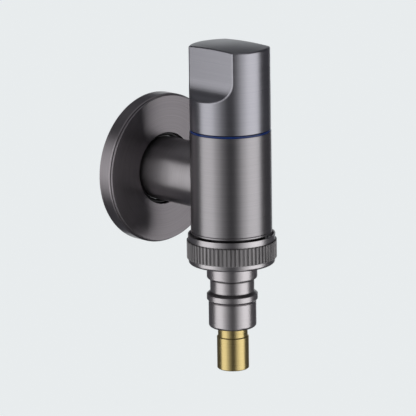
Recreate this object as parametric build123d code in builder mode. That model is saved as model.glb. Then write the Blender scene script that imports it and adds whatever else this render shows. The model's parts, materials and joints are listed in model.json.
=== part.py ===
from build123d import *
import math
import os

# Wall tap for a washing machine hose: a round wall flange, a short arm, an upright body with a
# quarter-turn headwork under its handle, a knurled union nut, and a hose nozzle whose sprung
# brass plunger lets the water through only while a hose pushes it up.
#
# Millimetres. The wall is the plane Y = 0, and the tap stands out from it along -Y. The origin is
# where the arm's axis meets the wall, and +Z is up. Radii end in _r. Threads are plain cylinders
# at their major size.

# Fits
running_gap = 0.05
thread_gap = 0.05
disc_gap = 0.02

# Arm and inlet
reach = 39.65
arm_r = 11.7
arm_bore_r = 5.8
arm_stop = 1.0
inlet_thread_r = 10.4775
inlet_thread_length = 14.0
inlet_chamfer = 1.0

# Upright body
body_r = 14.7
body_rise = 18.9
body_drop = 18.4
body_edge = 0.2
body_line_rise = 0.85
body_line_width = 0.35
body_line_depth = 0.2
chamber_r = 10.0
seat_step = 0.2
seat_bore_r = 4.6
seat_land = 3.0
outlet_cone = 4.0
outlet_bore_r = 9.5
outlet_thread_r = 13.22
spigot_length = 6.3
spigot_chamfer = 0.6
relief_width = 1.2
relief_depth = 1.2

# Indicator ring
ring_inset = 0.2
ring_height = 0.75
ring_play = 0.2

# Headwork housing
headwork_thread_r = 10.4775
headwork_thread_length = 9.0
shoulder_r = 12.1
shoulder_height = 1.6
hex_across = 20.0
hex_height = 4.0
bonnet_r = 7.5
bonnet_height = 3.4
cage_r = 9.3
cage_wall = 1.3
window_angle = 70.0
gasket_height = 1.4
gasket_width = 1.3

# Headwork inside
seal_height = 2.0
seal_stand = 0.4
seal_width = 2.6
fixed_disc_height = 3.0
moving_disc_height = 3.0
disc_play = 0.15
port_inner_r = 2.0
port_rim = 1.3
port_angle = 76.0
key_width = 3.0
lug_height = 1.0
lug_width = 2.6
lug_play = 0.1
carrier_height = 1.2
carrier_width = 5.2
foot_height = 1.4
foot_r = 6.4
stop_angle = 30.0
stop_play = 1.0
turn_angle = 90.0
washer_height = 0.5
shaft_r = 4.6
o_ring_wire_r = 0.5
o_ring_drop = 3.0
o_ring_pitch = 4.0
circlip_height = 0.8
circlip_r = 6.4
circlip_groove = 0.7
circlip_opening = 5.0

# Spindle end and handle socket
spline_teeth = 20
spline_r = 4.0
spline_depth = 0.4
spline_length = 8.0
spline_lift = 0.4
bush_wall = 1.6
bush_head = 0.6
screw_r = 2.0
screw_recess = 2.4
screw_key_r = 1.15
screw_key_depth = 2.0

# Handle
handle_inset = 0.1
handle_height = 29.9
handle_crown = 0.65
handle_gap = 0.1
blade_thickness = 19.1
scoop_overrun = 2.95
scoop_top = 10.75
handle_edge = 0.6
scoop_edge = 1.0
handle_lower_edge = 0.25
cavity_gap = 0.7

# Union nut
knurl_r = 16.25
knurl_count = 66
knurl_depth = 0.38
knurl_width = 0.95
knurl_floor = 0.3
nut_gap = 0.5
nut_rim_r = 15.77
nut_rim_wall = 0.5
nut_rim_height = 2.19
nut_cup_depth = 1.5
nut_lip_height = 1.8
nut_lip_gap = 0.2
nut_foot_r = 15.62
nut_foot_height = 2.14
nut_foot_round = 0.85

# Joint under the nut
gasket_ring_height = 1.2
gasket_bore_r = 8.0
screen_height = 0.4
screen_r = 10.5
screen_hole_r = 0.75
screen_pitch = 2.3
nozzle_flange_r = 12.5
nozzle_flange_height = 1.55

# Nozzle outside, from the nut down
collar_r = 9.15
collar_height = 5.82
collar_round = 0.8
neck_r = 8.0
neck_height = 4.66
bead_r = 9.25
bead_cone = 1.05
bead_height = 1.85
bead_taper = 0.9
sleeve_r = 8.65
sleeve_height = 9.6
sleeve_round = 1.05
joint_groove = 0.2

# Nozzle inside
nozzle_bore_r = 6.8
seat_rise = 2.1
plug_chamfer = 0.3

# Plunger
plunger_r = 5.8
plunger_neck_r = 5.4
plunger_stroke = 3.0
plunger_stop_play = 0.46
plunger_reach = 15.68
plunger_bore_r = 4.2
plunger_edge = 0.3
plunger_head_r = 6.65
plunger_head_height = 1.3
plunger_head_flat = 5.8
plunger_pin_r = 3.4
plunger_pin_height = 2.0
plunger_port_r = 1.2
plunger_port_drop = 0.5
plunger_cap = 1.2
plunger_seal_height = 1.2
plunger_seal_r = 6.4

# Spring and its stop
spring_wire_r = 0.4
spring_r = 4.9
spring_coils = 5.0
retainer_height = 1.0
retainer_play = 0.05
retainer_lip = 0.8
snap_height = 0.8
snap_groove = 0.55
snap_width = 1.1
snap_opening = 60.0
snap_drop = 1.5

# Wall flange
flange_r = 27.5
flange_depth = 6.05
flange_chamfer_depth = 1.2
flange_chamfer_width = 0.6
flange_edge = 0.25
flange_plate = 2.4
flange_skirt = 1.8
flange_hole_r = 13.3
flange_hub_wall = 2.6
flange_hub_depth = 5.0
flange_o_ring_wire_r = 0.9
flange_o_ring_inset = 2.0

# Levels, counted up from the arm's axis
body_top = body_rise
body_bottom = -body_drop
body_line_z = body_bottom + body_line_rise
seat_z = -arm_bore_r - seat_step
thread_floor = body_top - gasket_height
spigot_end = body_bottom - spigot_length

cage_bottom = seat_z + seal_stand
fixed_disc_z = seat_z + seal_height
moving_disc_z = fixed_disc_z + fixed_disc_height + disc_gap
carrier_z = moving_disc_z + moving_disc_height
foot_z = carrier_z + carrier_height
washer_z = foot_z + foot_height
cage_top = washer_z + washer_height
shoulder_top = body_top + shoulder_height
hex_top = shoulder_top + hex_height
bonnet_top = hex_top + bonnet_height
circlip_top = bonnet_top + running_gap + circlip_height
spline_z = circlip_top + spline_lift
spline_top = spline_z + spline_length
socket_top = spline_top + bush_head

ring_top = body_top + ring_height
handle_bottom = ring_top + handle_gap
handle_top = handle_bottom + handle_height
crown_top = handle_top + handle_crown
scoop_z = handle_top - scoop_top
screw_z = (spline_z + spline_top) / 2

gasket_z = spigot_end - gasket_ring_height
screen_z = gasket_z - screen_height
nozzle_top = screen_z
nozzle_flange_z = nozzle_top - nozzle_flange_height
nut_lip_top = nozzle_flange_z - running_gap
nut_bottom = nut_lip_top - nut_lip_height
nut_top = body_bottom - nut_gap
nut_rim_z = nut_top - nut_rim_height
nut_cup_z = nut_top - nut_cup_depth
nut_foot_z = nut_bottom + nut_foot_height

collar_z = nut_bottom - collar_height
neck_z = collar_z - neck_height
bead_top = neck_z - bead_cone
bead_bottom = bead_top - bead_height
joint_z = bead_bottom - bead_taper
sleeve_bottom = joint_z - sleeve_height
valve_z = joint_z + seat_rise

plunger_bottom = sleeve_bottom - plunger_reach
plunger_shoulder = sleeve_bottom - plunger_stroke - plunger_stop_play
plunger_head_z = valve_z + plunger_seal_height
plunger_head_top = plunger_head_z + plunger_head_height
plunger_port_z = valve_z - plunger_port_drop - plunger_port_r
plunger_bore_top = plunger_head_top - plunger_cap
snap_top = nozzle_top - snap_drop
snap_z = snap_top - snap_height
retainer_z = snap_z - retainer_height

# Radii that follow from the body and from the fits
ring_r = body_r - ring_inset
handle_r = body_r - handle_inset
body_thread_r = headwork_thread_r + thread_gap
gasket_pocket_r = body_thread_r + gasket_width
shaft_bore_r = shaft_r + running_gap
cage_bore_r = cage_r - cage_wall
disc_r = cage_bore_r - disc_play
port_outer_r = disc_r - port_rim
hex_corner_r = hex_across / 2 / math.cos(math.radians(30))
cavity_r = hex_corner_r + cavity_gap
bush_r = spline_r + running_gap + bush_wall
nut_thread_r = outlet_thread_r + thread_gap
nut_lip_r = collar_r + nut_lip_gap
sleeve_bore_r = plunger_neck_r + running_gap
retainer_r = nozzle_bore_r - retainer_play
retainer_bore_r = spring_r - spring_wire_r - retainer_lip
snap_groove_r = nozzle_bore_r + snap_groove
flange_o_ring_r = arm_r + running_gap + flange_o_ring_wire_r
flange_groove_r = flange_o_ring_r + flange_o_ring_wire_r
flange_hub_r = flange_groove_r + flange_hub_wall
flange_groove_y = -flange_depth + flange_o_ring_inset

cut_margin = 1.0
upright = Plane.XZ.offset(reach)
tap_axis = Axis((0, -reach, 0), (0, 0, 1))


def level(z):
    """A horizontal plane centred on the upright axis."""
    return Plane((0, -reach, z))


def sector(radius, middle, width):
    """The corners of a pie slice that is wider than the given radius, for cutting by angle."""
    far = 2 * radius / math.cos(math.radians(width / 4))
    steps = [middle - width / 2, middle - width / 4, middle, middle + width / 4, middle + width / 2]
    rim = [(far * math.cos(math.radians(a)), far * math.sin(math.radians(a))) for a in steps]
    return [(0, 0)] + rim


def star(tip_r, root_r, teeth):
    """The corners of a spline with pointed teeth."""
    step = math.pi / teeth
    radii = [tip_r, root_r] * teeth
    return [(r * math.cos(i * step), r * math.sin(i * step)) for i, r in enumerate(radii)]


def ports(middle):
    """Two opposite ports of a ceramic disc, as a sketch of its own."""
    with BuildSketch() as bow_tie:
        for side in (middle, middle + 180):
            with BuildLine():
                Polyline(*sector(port_outer_r, side, port_angle), close=True)
            make_face()
        Circle(port_outer_r, mode=Mode.INTERSECT)
        Circle(port_inner_r, mode=Mode.SUBTRACT)
    return bow_tie.sketch


def o_ring(ring_centre_r, wire_r, z):
    """A round sealing ring about the upright axis."""
    with BuildPart() as ring:
        with BuildSketch(upright):
            with Locations((ring_centre_r, z)):
                Circle(wire_r)
        revolve(axis=tap_axis)
    return ring.part


os.makedirs("parts", exist_ok=True)

# Tap body: the upright cylinder, the arm with its inlet thread and the outlet spigot in one piece
with BuildPart() as tap_body:
    with BuildSketch(upright):
        with BuildLine():
            Polyline(
                (0, body_top),
                (body_r, body_top),
                (body_r, body_line_z + body_line_width / 2),
                (body_r - body_line_depth, body_line_z),
                (body_r, body_line_z - body_line_width / 2),
                (body_r, body_bottom + body_edge),
                (body_r - body_edge, body_bottom),
                (outlet_thread_r - relief_depth, body_bottom),
                (outlet_thread_r - relief_depth, body_bottom - relief_width),
                (outlet_thread_r, body_bottom - relief_width - relief_depth / 2),
                (outlet_thread_r, spigot_end + spigot_chamfer),
                (outlet_thread_r - spigot_chamfer, spigot_end),
                (0, spigot_end),
                close=True,
            )
        make_face()
    revolve(axis=tap_axis)
    with BuildSketch(Plane.XY):
        with BuildLine():
            Polyline(
                (0, -reach),
                (arm_r, -reach),
                (arm_r, -arm_stop),
                (inlet_thread_r, -arm_stop),
                (inlet_thread_r, inlet_thread_length - arm_stop - inlet_chamfer),
                (inlet_thread_r - inlet_chamfer, inlet_thread_length - arm_stop),
                (0, inlet_thread_length - arm_stop),
                close=True,
            )
        make_face()
    revolve(axis=Axis.Y)
    # The headwork's bore from above, down to the valve seat, and the outlet below it
    with BuildSketch(upright):
        with BuildLine():
            Polyline(
                (0, body_top + cut_margin),
                (gasket_pocket_r, body_top + cut_margin),
                (gasket_pocket_r, thread_floor),
                (body_thread_r, thread_floor),
                (body_thread_r, thread_floor - headwork_thread_length),
                (chamber_r, thread_floor - headwork_thread_length),
                (chamber_r, seat_z),
                (seat_bore_r, seat_z),
                (seat_bore_r, seat_z - seat_land),
                (outlet_bore_r, seat_z - seat_land - outlet_cone),
                (outlet_bore_r, spigot_end - cut_margin),
                (0, spigot_end - cut_margin),
                close=True,
            )
        make_face()
    revolve(axis=tap_axis, mode=Mode.SUBTRACT)
    # The waterway along the arm, which ends in the chamber round the headwork
    with BuildSketch(Plane.XZ.offset(-inlet_thread_length)):
        Circle(arm_bore_r)
    extrude(amount=inlet_thread_length + reach - cage_r, mode=Mode.SUBTRACT)
tap_body.part.label = "tap_body"
export_step(tap_body.part, "parts/tap_body.step")

# Indicator ring: the thin blue band between body and handle
with BuildPart() as indicator_ring:
    with BuildSketch(level(body_top)):
        Circle(ring_r)
        Circle(shoulder_r + ring_play, mode=Mode.SUBTRACT)
    extrude(amount=ring_height)
indicator_ring.part.label = "indicator_ring"
export_step(indicator_ring.part, "parts/indicator_ring.step")

# Headwork housing: screwed into the body, with a hexagon for the spanner under the handle
with BuildPart() as headwork_housing:
    with BuildSketch(upright):
        with BuildLine():
            Polyline(
                (shaft_bore_r, bonnet_top),
                (bonnet_r, bonnet_top),
                (bonnet_r, shoulder_top),
                (shoulder_r, shoulder_top),
                (shoulder_r, body_top),
                (headwork_thread_r, body_top),
                (headwork_thread_r, thread_floor - headwork_thread_length + running_gap),
                (cage_r, thread_floor - headwork_thread_length - running_gap),
                (cage_r, cage_bottom),
                (cage_bore_r, cage_bottom),
                (cage_bore_r, cage_top),
                (shaft_bore_r, cage_top),
                close=True,
            )
        make_face()
    revolve(axis=tap_axis)
    with BuildSketch(level(shoulder_top)):
        RegularPolygon(hex_corner_r, 6)
        Circle(shaft_bore_r, mode=Mode.SUBTRACT)
    extrude(amount=hex_height)
    # The ring that the spindle's lug runs round in, with a gap of a quarter turn and the lug
    with BuildSketch(level(foot_z + disc_gap)):
        Circle(cage_bore_r)
        Circle(foot_r + disc_play, mode=Mode.SUBTRACT)
        with BuildLine():
            Polyline(*sector(cage_bore_r, turn_angle / 2, turn_angle + stop_angle + stop_play), close=True)
        make_face(mode=Mode.SUBTRACT)
    extrude(amount=cage_top - foot_z - disc_gap)
    # Two windows that let the water in over the moving disc
    for side in (90, 270):
        with BuildSketch(level(moving_disc_z + disc_play)):
            with BuildLine():
                Polyline(*sector(cage_r, side, window_angle), close=True)
            make_face()
        extrude(amount=foot_z - moving_disc_z - 2 * disc_play, mode=Mode.SUBTRACT)
    # Two slots that key the fixed disc
    with BuildSketch(level(cage_bottom)):
        Rectangle(key_width + 2 * running_gap, 2 * cage_r + cut_margin)
    extrude(amount=moving_disc_z - cage_bottom, mode=Mode.SUBTRACT)
headwork_housing.part.label = "headwork_housing"
export_step(headwork_housing.part, "parts/headwork_housing.step")

# Sealing ring under the housing's shoulder, in its pocket in the body
with BuildPart() as headwork_gasket:
    with BuildSketch(level(thread_floor)):
        Circle(gasket_pocket_r)
        Circle(body_thread_r, mode=Mode.SUBTRACT)
    extrude(amount=gasket_height)
headwork_gasket.part.label = "headwork_gasket"
export_step(headwork_gasket.part, "parts/headwork_gasket.step")

# Seat seal: the rubber ring between the valve seat and the fixed disc
with BuildPart() as seat_seal:
    with BuildSketch(level(seat_z)):
        Circle(disc_r)
        Circle(disc_r - seal_width, mode=Mode.SUBTRACT)
    extrude(amount=seal_height)
seat_seal.part.label = "seat_seal"
export_step(seat_seal.part, "parts/seat_seal.step")

# Fixed ceramic disc: two ports left and right, and two keys in the housing's slots
fixed_ports = ports(0)
with BuildPart() as fixed_disc:
    with BuildSketch(level(fixed_disc_z)):
        Circle(disc_r)
        Rectangle(key_width, 2 * (cage_r - disc_play))
        add(fixed_ports, mode=Mode.SUBTRACT)
    extrude(amount=fixed_disc_height)
fixed_disc.part.label = "fixed_disc"
export_step(fixed_disc.part, "parts/fixed_disc.step")

# Moving ceramic disc: its ports stand crosswise while the tap is shut, and two pockets take the lugs
moving_ports = ports(90)
lug_span = 2 * (disc_r - disc_play)
lug_start_r = port_inner_r + disc_play
with BuildPart() as moving_disc:
    with BuildSketch(level(moving_disc_z)):
        Circle(disc_r)
        add(moving_ports, mode=Mode.SUBTRACT)
    extrude(amount=moving_disc_height)
    with BuildSketch(level(carrier_z)):
        Rectangle(2 * disc_r + cut_margin, lug_width + 2 * lug_play)
        Circle(lug_start_r - lug_play, mode=Mode.SUBTRACT)
    extrude(amount=-lug_height - lug_play, mode=Mode.SUBTRACT)
moving_disc.part.label = "moving_disc"
export_step(moving_disc.part, "parts/moving_disc.step")

# Spindle: carrier bar with its two lugs, foot with the stop lug, shaft with three grooves, spline
o_ring_centre_r = shaft_bore_r - disc_gap - o_ring_wire_r
o_ring_levels = (bonnet_top - o_ring_drop, bonnet_top - o_ring_drop - o_ring_pitch)
with BuildPart() as spindle:
    with BuildSketch(level(carrier_z - lug_height)):
        Rectangle(lug_span, lug_width)
        Circle(disc_r, mode=Mode.INTERSECT)
        Circle(lug_start_r, mode=Mode.SUBTRACT)
    extrude(amount=lug_height)
    with BuildSketch(level(carrier_z)):
        Rectangle(lug_span, carrier_width)
        Circle(disc_r - disc_play, mode=Mode.INTERSECT)
    extrude(amount=carrier_height)
    with BuildSketch(level(foot_z)):
        with BuildLine():
            Polyline(*sector(disc_r, 0, stop_angle), close=True)
        make_face()
        Circle(disc_r, mode=Mode.INTERSECT)
        Circle(foot_r)
    extrude(amount=foot_height)
    with BuildSketch(level(washer_z)):
        Circle(shaft_r)
    extrude(amount=spline_z - washer_z)
    with BuildSketch(level(spline_z)):
        with BuildLine():
            Polyline(*star(spline_r, spline_r - spline_depth, spline_teeth), close=True)
        make_face()
    extrude(amount=spline_length)
    chamfer(spindle.faces().sort_by(Axis.Z)[-1].edges(), spline_depth / 2)
    for ring_z in o_ring_levels:
        with BuildSketch(level(ring_z - o_ring_wire_r)):
            Circle(shaft_r + cut_margin)
            Circle(o_ring_centre_r - o_ring_wire_r, mode=Mode.SUBTRACT)
        extrude(amount=2 * o_ring_wire_r, mode=Mode.SUBTRACT)
    with BuildSketch(level(bonnet_top + running_gap)):
        Circle(shaft_r + cut_margin)
        Circle(shaft_r - circlip_groove, mode=Mode.SUBTRACT)
    extrude(amount=circlip_height, mode=Mode.SUBTRACT)
spindle.part.label = "spindle"
export_step(spindle.part, "parts/spindle.step")

# The spindle's two O-rings
for name, ring_z in zip(("spindle_o_ring_upper", "spindle_o_ring_lower"), o_ring_levels):
    spindle_o_ring = o_ring(o_ring_centre_r, o_ring_wire_r, ring_z)
    spindle_o_ring.label = name
    export_step(spindle_o_ring, "parts/" + name + ".step")

# Slip washer between the spindle's foot and the housing
with BuildPart() as slip_washer:
    with BuildSketch(level(washer_z)):
        Circle(foot_r)
        Circle(shaft_bore_r, mode=Mode.SUBTRACT)
    extrude(amount=washer_height - disc_gap)
slip_washer.part.label = "slip_washer"
export_step(slip_washer.part, "parts/slip_washer.step")

# Circlip that holds the spindle down on the bonnet
with BuildPart() as spindle_circlip:
    with BuildSketch(level(bonnet_top + running_gap)):
        Circle(circlip_r)
        Circle(shaft_r - circlip_groove, mode=Mode.SUBTRACT)
        with Locations((0, circlip_r)):
            Rectangle(circlip_opening, 2 * circlip_r, mode=Mode.SUBTRACT)
    extrude(amount=circlip_height)
spindle_circlip.part.label = "spindle_circlip"
export_step(spindle_circlip.part, "parts/spindle_circlip.step")

# Spline bush: the plastic sleeve between the spindle's spline and the handle
screw_start = spline_r + 2 * running_gap
screw_length = handle_r - screw_recess - screw_start
screw_plane = Plane((0, -reach + screw_start, screw_z), x_dir=(1, 0, 0), z_dir=(0, 1, 0))
with BuildPart() as spline_bush:
    with BuildSketch(level(spline_z)):
        Circle(bush_r)
    extrude(amount=socket_top - spline_z)
    with BuildSketch(level(spline_z)):
        bore_r = spline_r + running_gap
        with BuildLine():
            Polyline(*star(bore_r, bore_r - spline_depth, spline_teeth), close=True)
        make_face()
    extrude(amount=spline_length + running_gap, mode=Mode.SUBTRACT)
    with BuildSketch(screw_plane):
        Circle(screw_r + thread_gap)
    extrude(amount=bush_r, mode=Mode.SUBTRACT)
spline_bush.part.label = "spline_bush"
export_step(spline_bush.part, "parts/spline_bush.step")

# Handle: a round cap with a shallow crown and two finger scoops that leave a flat blade, hollow
# over the headwork
with BuildPart() as handle:
    with BuildSketch(upright):
        with BuildLine():
            TangentArc((0, crown_top), (handle_r, handle_top), tangent=(1, 0))
            Polyline((handle_r, handle_top), (handle_r, handle_bottom), (0, handle_bottom), (0, crown_top))
        make_face()
    revolve(axis=tap_axis)
    blade_x = blade_thickness / 2
    scoop_r = handle_r - blade_x + scoop_overrun
    scoop_x = blade_x + scoop_r
    scoop_floor = scoop_z - scoop_r
    with BuildSketch(upright):
        with BuildLine():
            Line((blade_x, handle_top + cut_margin), (blade_x, scoop_z))
            TangentArc((blade_x, scoop_z), (scoop_x, scoop_floor), tangent=(0, -1))
            Polyline(
                (scoop_x, scoop_floor),
                (scoop_x, handle_top + cut_margin),
                (blade_x, handle_top + cut_margin),
            )
        make_face()
        mirror(about=Plane.YZ)
    extrude(amount=handle_r + cut_margin, both=True, mode=Mode.SUBTRACT)
    scoop_rims = handle.edges().filter_by(lambda e: scoop_floor < e.center().Z < handle_top - cut_margin)
    fillet(scoop_rims.filter_by(Axis.Y, reverse=True), scoop_edge)
    fillet(handle.faces().sort_by(Axis.Z)[-1].edges(), handle_edge)
    chamfer(handle.faces().sort_by(Axis.Z)[0].edges(), handle_lower_edge)
    with BuildSketch(level(handle_bottom)):
        Circle(cavity_r)
    extrude(amount=spline_z - handle_bottom, mode=Mode.SUBTRACT)
    with BuildSketch(level(spline_z)):
        Circle(bush_r)
    extrude(amount=socket_top - spline_z, mode=Mode.SUBTRACT)
    with BuildSketch(screw_plane):
        Circle(screw_r + thread_gap)
    extrude(amount=handle_r, mode=Mode.SUBTRACT)
handle.part.label = "handle"
export_step(handle.part, "parts/handle.step")

# Grub screw with a hexagon socket, in the back of the handle
with BuildPart() as handle_screw:
    with BuildSketch(screw_plane):
        Circle(screw_r)
    extrude(amount=screw_length)
    with BuildSketch(screw_plane.offset(screw_length)):
        RegularPolygon(screw_key_r, 6)
    extrude(amount=-screw_key_depth, mode=Mode.SUBTRACT)
handle_screw.part.label = "handle_screw"
export_step(handle_screw.part, "parts/handle_screw.step")

# Union nut: a plain rim with a cup round the body, a straight knurl, and a lip that carries the nozzle
with BuildPart() as union_nut:
    with BuildSketch(upright):
        with BuildLine():
            Polyline(
                (nut_rim_r - nut_rim_wall, nut_top),
                (nut_rim_r, nut_top),
                (nut_rim_r, nut_rim_z),
                (knurl_r, nut_rim_z),
                (knurl_r, nut_foot_z),
                (nut_foot_r, nut_foot_z),
                (nut_foot_r, nut_bottom),
                (nut_lip_r, nut_bottom),
                (nut_lip_r, nut_lip_top),
                (nozzle_flange_r + nut_lip_gap, nut_lip_top),
                (nozzle_flange_r + nut_lip_gap, gasket_z),
                (nut_thread_r, gasket_z + nut_thread_r - nozzle_flange_r - nut_lip_gap),
                (nut_thread_r, nut_cup_z),
                (nut_rim_r - nut_rim_wall, nut_cup_z),
                close=True,
            )
        make_face()
    revolve(axis=tap_axis)
    fillet(union_nut.faces().sort_by(Axis.Z)[0].outer_wire().edges(), nut_foot_round)
    # The knurl stands proud of the rim above it and of the foot below it
    flank = (knurl_width - knurl_floor) / 2 / knurl_depth
    outer_half = knurl_width / 2 + flank * cut_margin
    with BuildSketch(level(nut_rim_z)):
        with PolarLocations(knurl_r, knurl_count):
            Polygon(
                (-knurl_depth, -knurl_floor / 2),
                (cut_margin, -outer_half),
                (cut_margin, outer_half),
                (-knurl_depth, knurl_floor / 2),
                align=None,
            )
    extrude(amount=nut_foot_z - nut_rim_z, mode=Mode.SUBTRACT)
union_nut.part.label = "union_nut"
export_step(union_nut.part, "parts/union_nut.step")

# Gasket between the body's spigot and the nozzle
with BuildPart() as union_gasket:
    with BuildSketch(level(gasket_z)):
        Circle(nozzle_flange_r)
        Circle(gasket_bore_r, mode=Mode.SUBTRACT)
    extrude(amount=gasket_ring_height)
union_gasket.part.label = "union_gasket"
export_step(union_gasket.part, "parts/union_gasket.step")

# Screen: a thin disc with rings of holes, under the gasket
with BuildPart() as filter_screen:
    with BuildSketch(level(screen_z)):
        Circle(screen_r)
        Circle(screen_hole_r, mode=Mode.SUBTRACT)
        for ring in range(1, int((gasket_bore_r - screen_hole_r) / screen_pitch) + 1):
            with PolarLocations(ring * screen_pitch, 6 * ring):
                Circle(screen_hole_r, mode=Mode.SUBTRACT)
    extrude(amount=screen_height)
filter_screen.part.label = "filter_screen"
export_step(filter_screen.part, "parts/filter_screen.step")

# Nozzle: flange inside the nut, collar, locking neck and bead for a quick coupling
collar_corner = min(collar_round, collar_r - neck_r - joint_groove / 2)
with BuildPart() as nozzle:
    with BuildSketch(upright):
        with BuildLine():
            Polyline(
                (collar_r - collar_corner, collar_z),
                (neck_r, collar_z),
                (neck_r, neck_z),
                (bead_r, bead_top),
                (bead_r, bead_bottom),
                (sleeve_r, joint_z + joint_groove),
                (sleeve_r - joint_groove, joint_z),
                (nozzle_bore_r, joint_z),
                (nozzle_bore_r, snap_z),
                (snap_groove_r, snap_z),
                (snap_groove_r, snap_top),
                (nozzle_bore_r, snap_top),
                (nozzle_bore_r, nozzle_top),
                (nozzle_flange_r, nozzle_top),
                (nozzle_flange_r, nozzle_flange_z),
                (collar_r, nozzle_flange_z),
                (collar_r, collar_z + collar_corner),
            )
            RadiusArc(
                (collar_r, collar_z + collar_corner),
                (collar_r - collar_corner, collar_z),
                collar_corner,
            )
        make_face()
    revolve(axis=tap_axis)
nozzle.part.label = "nozzle"
export_step(nozzle.part, "parts/nozzle.step")

# Nozzle sleeve: screwed into the nozzle from below; its top is the plunger's valve seat
plug_r = nozzle_bore_r - thread_gap
with BuildPart() as nozzle_sleeve:
    with BuildSketch(upright):
        with BuildLine():
            Polyline(
                (sleeve_r - sleeve_round, sleeve_bottom),
                (sleeve_bore_r, sleeve_bottom),
                (sleeve_bore_r, valve_z),
                (plug_r - plug_chamfer, valve_z),
                (plug_r, valve_z - plug_chamfer),
                (plug_r, joint_z),
                (sleeve_r - joint_groove, joint_z),
                (sleeve_r, joint_z - joint_groove),
                (sleeve_r, sleeve_bottom + sleeve_round),
            )
            RadiusArc(
                (sleeve_r, sleeve_bottom + sleeve_round),
                (sleeve_r - sleeve_round, sleeve_bottom),
                sleeve_round,
            )
        make_face()
    revolve(axis=tap_axis)
nozzle_sleeve.part.label = "nozzle_sleeve"
export_step(nozzle_sleeve.part, "parts/nozzle_sleeve.step")

# Plunger: a brass tube, shut above its four ports, with a three-sided head over the seal
with BuildPart() as plunger:
    with BuildSketch(upright):
        with BuildLine():
            Polyline(
                (0, plunger_head_top + plunger_pin_height),
                (plunger_pin_r, plunger_head_top + plunger_pin_height),
                (plunger_pin_r, plunger_head_top),
                (plunger_neck_r, plunger_head_top),
                (plunger_neck_r, plunger_shoulder),
                (plunger_r - plunger_edge, plunger_shoulder),
                (plunger_r, plunger_shoulder - plunger_edge),
                (plunger_r, plunger_bottom + plunger_edge),
                (plunger_r - plunger_edge, plunger_bottom),
                (plunger_bore_r + plunger_edge, plunger_bottom),
                (plunger_bore_r, plunger_bottom + plunger_edge),
                (plunger_bore_r, plunger_port_z + plunger_port_r + plunger_port_drop / 2),
                (0, plunger_bore_top),
                close=True,
            )
        make_face()
    revolve(axis=tap_axis)
    with BuildSketch(level(plunger_head_z)):
        Circle(plunger_head_r)
        RegularPolygon(plunger_head_flat, 3, major_radius=False, mode=Mode.INTERSECT)
    extrude(amount=plunger_head_height)
    for across in ((1, 0, 0), (0, 1, 0)):
        with BuildSketch(Plane((0, -reach, plunger_port_z), z_dir=across)):
            Circle(plunger_port_r)
        extrude(amount=plunger_r, both=True, mode=Mode.SUBTRACT)
plunger.part.label = "plunger"
export_step(plunger.part, "parts/plunger.step")

# Rubber washer under the plunger's head
with BuildPart() as plunger_seal:
    with BuildSketch(level(valve_z)):
        Circle(plunger_seal_r)
        Circle(plunger_neck_r, mode=Mode.SUBTRACT)
    extrude(amount=plunger_seal_height)
plunger_seal.part.label = "plunger_seal"
export_step(plunger_seal.part, "parts/plunger_seal.step")

# Plunger spring, ground flat where it bears on the head and on its stop
with BuildPart() as plunger_spring:
    spring_low = plunger_head_top + spring_wire_r / 2
    spring_high = retainer_z - spring_wire_r / 2
    with BuildLine(level(spring_low)) as coil:
        Helix((spring_high - spring_low) / spring_coils, spring_high - spring_low, spring_r)
    with BuildSketch(Plane(origin=coil.line @ 0, z_dir=coil.line % 0)):
        Circle(spring_wire_r)
    sweep(path=coil.line, is_frenet=True)
    for end_z, outward in ((plunger_head_top, -cut_margin), (retainer_z, cut_margin)):
        with BuildSketch(level(end_z)):
            Circle(spring_r + cut_margin)
        extrude(amount=outward, mode=Mode.SUBTRACT)
plunger_spring.part.label = "plunger_spring"
export_step(plunger_spring.part, "parts/plunger_spring.step")

# Spring stop: the ring that the spring pushes up against the snap ring
with BuildPart() as spring_stop:
    with BuildSketch(level(retainer_z)):
        Circle(retainer_r)
        Circle(retainer_bore_r, mode=Mode.SUBTRACT)
    extrude(amount=retainer_height)
spring_stop.part.label = "spring_stop"
export_step(spring_stop.part, "parts/spring_stop.step")

# Snap ring in its groove in the nozzle
with BuildPart() as snap_ring:
    with BuildSketch(level(snap_z)):
        Circle(snap_groove_r)
        Circle(snap_groove_r - snap_width, mode=Mode.SUBTRACT)
        with BuildLine():
            Polyline(*sector(snap_groove_r, -90, snap_opening), close=True)
        make_face(mode=Mode.SUBTRACT)
    extrude(amount=snap_height)
snap_ring.part.label = "snap_ring"
export_step(snap_ring.part, "parts/snap_ring.step")

# Wall flange: a turned cover, hollow behind, with a hub that holds its O-ring round the arm
with BuildPart() as wall_flange:
    with BuildSketch(Plane.XY):
        with BuildLine():
            Polyline(
                (flange_r - flange_skirt, 0),
                (flange_r, 0),
                (flange_r, flange_chamfer_depth - flange_depth),
                (flange_r - flange_chamfer_width, -flange_depth),
                (flange_hole_r, -flange_depth),
                (flange_hole_r, flange_groove_y - flange_o_ring_wire_r),
                (flange_groove_r, flange_groove_y - flange_o_ring_wire_r),
                (flange_groove_r, flange_groove_y + flange_o_ring_wire_r),
                (flange_hole_r, flange_groove_y + flange_o_ring_wire_r),
                (flange_hole_r, flange_hub_depth - flange_depth),
                (flange_hub_r, flange_hub_depth - flange_depth),
                (flange_hub_r, flange_plate - flange_depth),
                (flange_r - flange_skirt, flange_plate - flange_depth),
                close=True,
            )
        make_face()
    revolve(axis=Axis.Y)
    fillet(wall_flange.faces().filter_by(GeomType.CONE).edges(), flange_edge)
wall_flange.part.label = "wall_flange"
export_step(wall_flange.part, "parts/wall_flange.step")

# The flange's O-ring, black in the gap round the arm
with BuildPart() as flange_o_ring:
    with BuildSketch(Plane.XY):
        with Locations((flange_o_ring_r, flange_groove_y)):
            Circle(flange_o_ring_wire_r)
    revolve(axis=Axis.Y)
flange_o_ring.part.label = "flange_o_ring"
export_step(flange_o_ring.part, "parts/flange_o_ring.step")
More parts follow.
